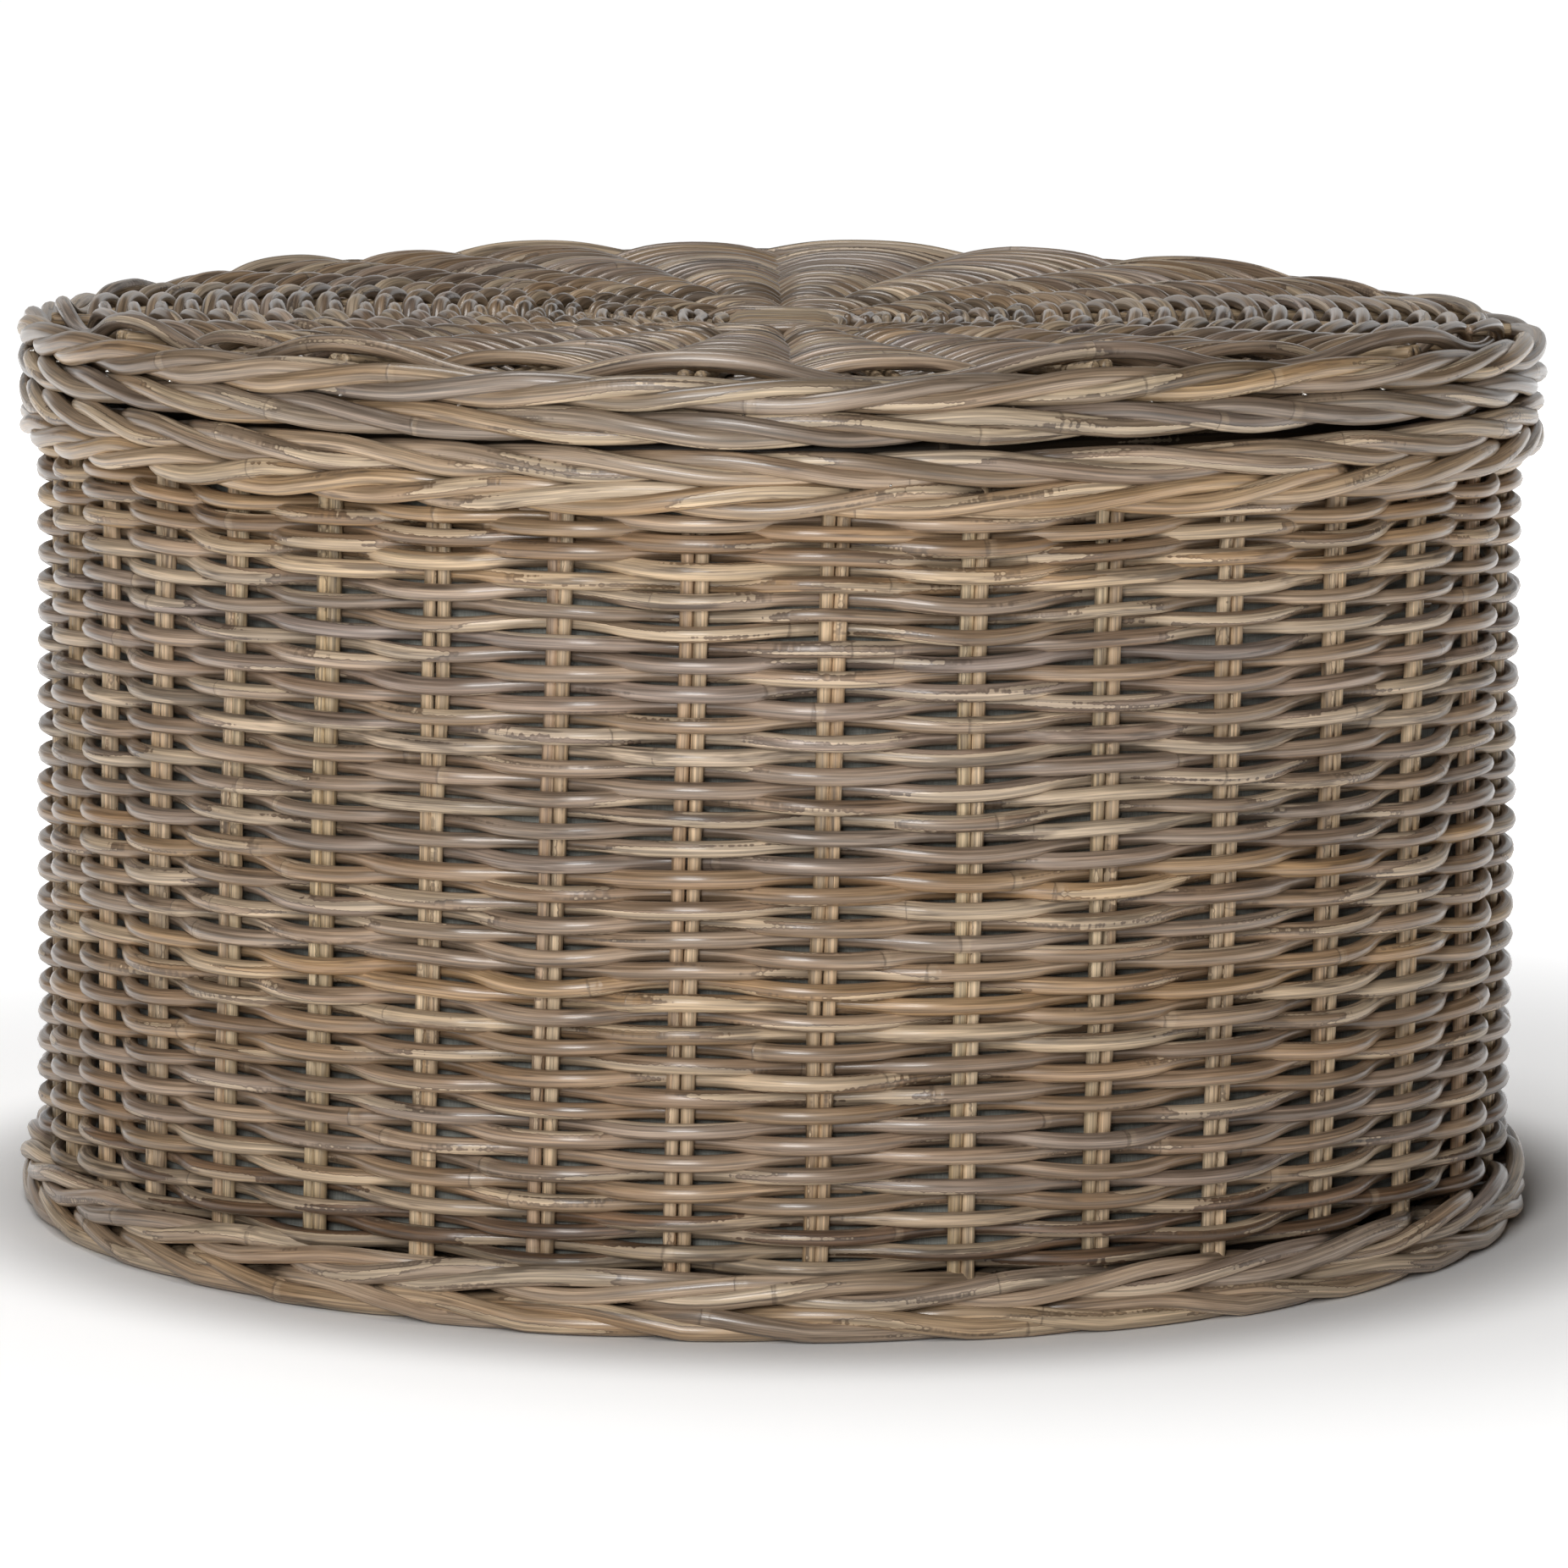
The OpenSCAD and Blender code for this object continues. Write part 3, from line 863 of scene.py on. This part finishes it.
def make_disc_weave(rng, disc):
    """The weave, as one spiral cut into canes."""
    full_pitch = disc.weave_r - LID_WEAVER_D / 2 - WEAVE_START_R - THIN_PITCH * THIN_ROUNDS
    full_pitch = full_pitch / (WEAVE_ROUNDS - THIN_ROUNDS)
    canes = cut_canes(rng)
    groups = np.array_split(np.arange(len(canes)), disc.pieces)
    for number, group in enumerate(groups, 1):
        rods = Rods(sides=disc.sides)
        for c in group:
            first, last = canes[c]
            q = np.arange(first - 0.3, last + 0.3, 1 / disc.samples)
            turns = np.maximum(q, 0) / SPOKES
            r = WEAVE_START_R + THIN_PITCH * turns
            r = r + (full_pitch - THIN_PITCH) * np.maximum(0, turns - THIN_ROUNDS)
            full = ease((turns - THIN_ROUNDS + 3) / 5)
            thick_d = THIN_PITCH + (LID_WEAVER_D - THIN_PITCH) * full
            reach = (STAKE_D + thick_d) / 2 + 0.0001
            angle = spoke_angle(q)
            ends = end_share(q, 0.8)
            z = disc.z(r) + reach * disc_wave(q, r, angle) + drift(rng, q, 1.5, 0.0003)
            if disc.name == "lid":
                z = z + arch_lift(q, r)
            # the first rounds follow the square of the cross
            square = SQUARE_CORNER * np.sin(2 * angle) ** 2
            corner = square * (1 - ease((r - SQUARE_R) / SQUARE_FADE))
            r = r * (1 + corner) + drift(rng, q, 1.5, 0.0004) + 0.001 * ends
            path = polar(angle, r, z)
            steps = np.linalg.norm(np.diff(path, axis=0), axis=1)
            along = np.concatenate(([0], np.cumsum(steps)))
            thick = thick_d / 2 * (0.98 + rng.normal(0, 0.05) + drift(rng, along, 0.1, 0.04))
            thick = thick * (1 - 0.4 * np.abs(ends))
            tint = rod_tint(rng, along, 0.50, 0.26) * rng.uniform(0.86, 1.08)
            rods.add(rng, path, thick, tint, (0, 0, 1), skin_age(rng))
        rods.make(f"{disc.name}_weavers_{number:02d}", WEAVER_LOOK, disc.body,
                  [f"{disc.name}_weave"], disc.shape)


def make_disc(seed, disc):
    rng = np.random.default_rng(seed)
    make_spokes(rng, disc)
    make_cross(rng, disc)
    make_disc_weave(rng, disc)


def make_edge_weaver():
    """The thick last round of the lid, which arches over every second pair of spokes."""
    rng = np.random.default_rng(71)
    rods = Rods(sides=12)
    edge_low, edge_high = low("lid_edge_weaver"), high("lid_edge_weaver")
    thick_d = edge_high.z - edge_low.z
    mid_r = edge_high.x - thick_d / 2
    start, end = 1.0, SPOKES + 1
    while start < end:
        stop = min(start + 2 * int(rng.integers(3, 6)), end)
        q = np.arange(start - 0.3, stop + 0.3, 1 / 18)
        wave = over_under(q, 1.0)
        # the odd spokes end short of this rod, so it only dips a little between the arches
        z = LID_SPOKE_Z + EDGE_ROD_RISE + EDGE_ROD_WAVE * wave + arch_lift(q, mid_r) * 1.3
        r = mid_r + EDGE_ROD_SWAY * wave + drift(rng, q, 1.5, 0.0003)
        along = q * TURN * mid_r / SPOKES
        thick = thick_d / 2 * (1 + rng.normal(0, 0.03) + drift(rng, along, 0.2, 0.02))
        thick = thick * (1 - 0.4 * np.abs(end_share(q, 0.7)))
        tint = rod_tint(rng, along, 0.36, 0.25) * EDGE_ROD_TONE
        rods.add(rng, polar(spoke_angle(q), r, z), thick, tint, (0, 0, 1), skin_age(rng))
        start = stop
    rods.make("lid_edge_rod", BORDER_LOOK, "lid", ["lid_edge_weaver"], tilt_lid)


# ------------------------------ hoops and collar

HOOP_LAP = 0.12                 # angle over which the two ends of a hoop lie on each other


def make_hoop(name, node, body, seed, rings=1, stain_and_painted_shade=1.0, shape=None):
    """A bent cane with a long scarf joint, or several one above the other."""
    rng = np.random.default_rng(seed)
    node_low, node_high = low(node), high(node)
    thick_d = (node_high.z - node_low.z) / rings
    mid_r = node_high.x - thick_d / 2
    rods = Rods(sides=16)
    for level in range(rings):
        begin = rng.uniform(0, TURN)
        turn = np.linspace(0, TURN + HOOP_LAP, 260)
        ends = end_share(turn, HOOP_LAP)
        z = node_low.z + thick_d * (level + 0.5) + thick_d * 0.22 * ends
        angle = begin + turn
        thick = thick_d / 2 * (1 - 0.5 * np.abs(ends)) * 0.985
        thick = thick * (1 - 0.02 + 0.02 * drift(rng, turn, 0.3, 0.5))
        # the colour times a tone: below 1, as for the lid's collar, it is painted shade that
        # stands in for the shadow under the lid's edge
        tint = rod_tint(rng, turn * mid_r, 0.75, 0.1) * stain_and_painted_shade
        rods.add(rng, polar(angle, mid_r, z), thick, tint, polar(angle, 1, 0))
    rods.make(name, HOOP_LOOK, body, [node], shape)


# ------------------------------ liner

CLOTH_T = 0.001
AROUND = 360                    # points round the liner
# the folds of the liner's wall: how many round it, and how far each set stands in and out
LINER_FOLDS = ((7, 0.0013), (11, 0.0016), (19, 0.0014), (31, 0.0012), (53, 0.0007))
HEM_SHARE = 0.12                # how much of the folds reaches up to the hem
# the hem's folded cross-section: in from the wall, in cloths, and up, as a share of its height
HEM_PROFILE = ((0, 0.1), (0, 0.5), (0, 0.9), (-0.3, 1.0), (-0.8, 1.02), (-1.2, 0.98),
               (-1.35, 0.85), (-1.2, 0.70), (-1.4, 0.5), (-1.2, 0.22), (-1.35, 0.1),
               (-0.9, 0.0), (-0.4, 0.0))
TIES = 8
TAPE_W = 0.010


def cloth_mesh(name, points, flat, closed=True):
    """Quads over one grid of points or several, closed round the last axis or open, with
    their places on the flat cloth."""
    here = np.arange(points[..., 0].size).reshape(points.shape[:-1])
    if closed:
        here = np.concatenate((here, here[..., :1]), -1)
    quads = np.stack(
        (here[..., :-1, :-1], here[..., :-1, 1:], here[..., 1:, 1:], here[..., 1:, :-1]), -1
    )
    mesh = bpy.data.meshes.new(name)
    mesh.from_pydata(points.reshape(-1, 3).tolist(), [], quads.reshape(-1, 4).tolist())
    mesh.polygons.foreach_set("use_smooth", np.ones(len(mesh.polygons), bool))
    write_attribute(mesh, "cane", flat)
    return mesh


def unrolled(angle, up):
    """Places on the flat cloth: how far round it, and how far up."""
    around, up = np.broadcast_arrays(angle[None] * LINER_R, up[:, None])
    return np.stack((around, up, 0 * around), -1)


def make_liner_wall(rng, angle, wall_low):
    """The wall hangs from the hem in soft folds, some of them slanting."""
    levels = np.linspace(0, 1, 60)
    z = wall_low + (HEM_LOW - wall_low) * levels
    folds = sum(
        size * np.sin(count * angle + rng.uniform(0, TURN) + rng.normal(0, 2) * levels[:, None])
        for count, size in LINER_FOLDS
    )
    folds = folds - folds.max()
    belly = HEM_SHARE + (1 - HEM_SHARE) * np.sin(levels * math.pi) ** 0.7
    radius = LINER_R - CLOTH_T / 2 + folds * belly[:, None]
    points = polar(angle, radius, z[:, None])
    wall = cloth_mesh("liner_wall_cloth", points, unrolled(angle, z))
    wall = place("liner_wall_cloth", wall, LINER_LOOK, "basket", ["liner_wall"])
    thicken(wall, CLOTH_T)
    return wall, folds[-1]


def make_liner_floor(angle):
    """A disc that meets the wall at a seam."""
    r = np.linspace(0.004, LINER_R - CLOTH_T, 40)[:, None]
    bumps = sum(
        0.0010 * np.sin(a * np.cos(angle[None] - b) * r * 60 + c)
        for a, b, c in ((1, 0.3, 0), (1.7, 2.1, 1), (2.6, 4.0, 2))
    )
    points = polar(angle, r, LINER_LOW + CLOTH_T / 2 + np.clip(bumps, 0, 1))
    floor = cloth_mesh("liner_floor_cloth", points, points * (1, 1, 0))
    floor = place("liner_floor_cloth", floor, LINER_LOOK, "basket",
                  ["liner_floor"])
    thicken(floor, CLOTH_T)
    return floor


def make_liner_hem(angle, folds):
    """The hem, folded double, which follows the folds of the wall a little."""
    hem_h = HEM_TOP - HEM_LOW
    pucker = 0.00025 * np.sin(angle * 180) + 0.0003 * np.sin(angle * 61 + 1)
    rows = []
    for out, rise in HEM_PROFILE:
        r = LINER_R + out * CLOTH_T * 1.3 + HEM_SHARE * folds + pucker * (out < -1)
        rows.append(polar(angle, r, HEM_LOW + rise * hem_h * 0.97 + pucker))
    rows.append(rows[0])
    flat = unrolled(angle, np.linspace(0, 2 * hem_h, len(rows)))
    hem = cloth_mesh("liner_hem_cloth", np.stack(rows), flat)
    weld(hem)
    return place("liner_hem_cloth", hem, LINER_LOOK, "basket", ["liner_hem"])


def make_liner():
    rng = np.random.default_rng(81)
    angle = np.arange(AROUND) / AROUND * TURN
    wall_low = LINER_LOW + CLOTH_T
    wall, top_folds = make_liner_wall(rng, angle, wall_low)
    floor = make_liner_floor(angle)
    hem = make_liner_hem(angle, top_folds)
    ties = make_ties()


def make_ties():
    """Tapes that go up from the hem and round the rim hoop, with a stitched end."""
    hoop_high = high("rim_hoop")
    hoop_d = hoop_high.z - low("rim_hoop").z
    hoop_r = hoop_high.x - hoop_d / 2
    hoop_z = hoop_high.z - hoop_d / 2
    loop_r = hoop_d / 2 + 0.0007
    loop = [(hoop_r - loop_r * math.sin(t + 0.4), hoop_z - loop_r * math.cos(t + 0.4))
            for t in np.linspace(0, TURN, 40)]
    tail = [(LINER_R - 0.0021, HEM_TOP - 0.016), (LINER_R - 0.0021, HEM_TOP - 0.006),
            (LINER_R - 0.0022, HEM_TOP + 0.001)]
    r, z = np.array(tail + loop).T[..., None]
    along = np.arange(len(r))[:, None]
    across = np.linspace(-0.5, 0.5, 7) * TAPE_W
    wave = 0.00025 * np.sin(along * 0.9 + np.arange(7) * 1.3)
    tie = np.arange(TIES)
    middle = stake_angle(np.round(tie * PAIRS / TIES) + 0.5, hoop_z)
    angle = middle[:, None, None] + across / hoop_r + 0 * r
    flat = np.broadcast_arrays(along * 0.0012, across, tie[:, None, None])
    mesh = cloth_mesh("liner_tie_tapes", polar(angle, r, z + wave), np.stack(flat, -1),
                      closed=False)
    ties = place("liner_tie_tapes", mesh, LINER_LOOK, "basket", ["liner_ties"])
    thicken(ties, CLOTH_T * 0.6)
    return ties


def thicken(piece, thickness):
    solid = piece.modifiers.new("thickness", "SOLIDIFY")
    solid.thickness = thickness
    solid.offset = 0


def weld(mesh):
    """Joins the first and last rows of a closed cross-section."""
    work = bmesh.new()
    work.from_mesh(mesh)
    bmesh.ops.remove_doubles(work, verts=work.verts, dist=1e-6)
    bmesh.ops.recalc_face_normals(work, faces=work.faces)
    work.to_mesh(mesh)
    work.free()


# ------------------------------ brads

# half section of a tack, from the top of its domed head inwards: depth and radius
TACK_PROFILE = np.array(
    ((0.0, 0.00045), (0.0004, 0.00085), (0.0009, 0.0009), (0.0012, 0.0005), (0.0160, 0.0005))
)


def make_brads(name, body, node, seed, proud, shape=None):
    """Bent wire tacks between the two bands of a border, one for each pair of stakes."""
    rng = np.random.default_rng(seed)
    rods = Rods(sides=10)
    mid_z = (low(node).z + high(node).z) / 2
    head_r = band_r(f"{node.split('_')[0]}_border_lower") + proud
    depth, radius = TACK_PROFILE.T
    for pair in range(PAIRS):
        angle = stake_angle(np.array([pair + 0.3 + rng.normal(0, 0.07)]), np.array([mid_z]))
        r = head_r + rng.normal(0, 0.0007) - depth
        z = mid_z + rng.normal(0, 0.0006) + depth * rng.normal(0, 0.04)
        rods.add(rng, polar(angle, r, z), radius, (0.7, 0.7, 0.7), (0, 0, 1))
    rods.make(name, BRAD_LOOK, body, [node], shape)


# ------------------------------ stage, light and camera

FLOOR_HALF = 20
MIDDLE = (0, 0, 0.2)            # what the lamps are aimed at
# name, place, width and height, watts
LAMPS = (
    ("key", (-0.5, -2.9, 1.0), (0.9, 0.9), 45),
    ("high", (-0.6, -2.4, 2.2), (0.8, 0.8), 14),
    ("top", (-0.4, 0.2, 2.6), (0.9, 0.9), 20),
    ("backdrop", (0, 3.2, 0.9), (6.0, 1.8), 25),
)
CAMERA_AT = (0, -3.32499, 0.65368)
CAMERA_LENS = 190.95            # millimetres, on a sensor 36 mm wide
CAMERA_PITCH = 0.1457           # down, in radians
CAMERA_YAW = 0.0008
CAMERA_ROLL = 0.0103


def matrix_of(right, up, back, place_at):
    """Matrix of an object with these axes at a place."""
    rows = np.column_stack((right, up, back, place_at))
    return Matrix([*rows.tolist(), [0, 0, 0, 1]])


def area_light(name, place_at, size, power):
    """A soft lamp aimed at the hamper, which doesn't show itself."""
    data = bpy.data.lights.new(name, "AREA")
    data.shape = "RECTANGLE"
    data.size, data.size_y = size
    data.energy = power
    light = add_object(name, data)
    light.visible_camera = False
    back = unit(np.array(place_at, float) - np.array(MIDDLE, float))
    right = unit(np.cross((0, 0, 1), back))
    light.matrix_world = matrix_of(right, np.cross(back, right), back, place_at)


def make_stage():
    """White floor and white room, with a low key, a high fill, a top light and a wide panel
    behind the hamper that silvers its edges."""
    mesh = bpy.data.meshes.new("floor")
    half = FLOOR_HALF
    corners = [(-half, -half, 0), (half, -half, 0), (half, half, 0), (-half, half, 0)]
    mesh.from_pydata(corners, [], [(0, 1, 2, 3)])
    floor = add_object("floor", mesh)
    mesh.materials.append(pale_floor("pale_floor"))

    world = bpy.data.worlds.new("studio")
    bpy.context.scene.world = world
    world.use_nodes = True
    background = world.node_tree.nodes["Background"]
    background.inputs["Color"].default_value = (1, 1, 1, 1)
    background.inputs["Strength"].default_value = 1.0
    # the white room shows behind the hamper and doesn't light it: the lamps do
    for ray in ("diffuse", "glossy", "transmission", "scatter"):
        setattr(world.cycles_visibility, ray, False)

    for name, place_at, size, power in LAMPS:
        area_light(name, place_at, size, power)
    bpy.context.scene.view_settings.view_transform = "Standard"


def make_camera():
    data = bpy.data.cameras.new("camera")
    data.sensor_width = 36
    data.lens = CAMERA_LENS
    data.clip_start, data.clip_end = 0.1, 100
    camera = add_object("camera", data)
    level_out = np.array((math.sin(CAMERA_YAW), math.cos(CAMERA_YAW), 0))
    forward = level_out * math.cos(CAMERA_PITCH) - np.array((0, 0, math.sin(CAMERA_PITCH)))
    level = np.array((math.cos(CAMERA_YAW), -math.sin(CAMERA_YAW), 0))
    upright = np.cross(level, forward)
    right = level * math.cos(CAMERA_ROLL) + upright * math.sin(CAMERA_ROLL)
    up = upright * math.cos(CAMERA_ROLL) - level * math.sin(CAMERA_ROLL)
    camera.matrix_world = matrix_of(right, up, -forward, CAMERA_AT)
    bpy.context.scene.camera = camera


make_camera()
make_stage()
make_stakes()
make_side_weave()
make_borders()
make_disc(61, Disc("lid", "lid", LID_SPOKE_Z, LID_HUB_Z, LID_DISC_R, high("lid_weave").x,
                   pieces=8, samples=14, sides=10, shape=tilt_lid))
make_disc(62, Disc("base", "basket", BASE_SPOKE_Z, BASE_SPOKE_Z, BASE_DISC_R, BASE_DISC_R,
                   pieces=4, samples=8, sides=8))
make_edge_weaver()
make_hoop("base_hoop_cane", "base_hoop", "basket", 91)
make_hoop("rim_hoop_cane", "rim_hoop", "basket", 92)
make_hoop("lid_hoop_cane", "lid_hoop", "lid", 93, shape=tilt_lid)
# the collar's colour is darkened to 0.16 as painted shade, for the dark gap under the lid's edge
make_hoop("lid_collar_canes", "lid_locating_ring", "lid", 94, rings=2, stain_and_painted_shade=0.16,
          shape=tilt_lid)
make_liner()
make_brads("foot_tacks", "basket", "foot_brads", 101, 0.0016)
make_brads("rim_tacks", "basket", "rim_brads", 102, 0.0016)
make_brads("lid_tacks", "lid", "lid_brads", 103, 0.0022, tilt_lid)
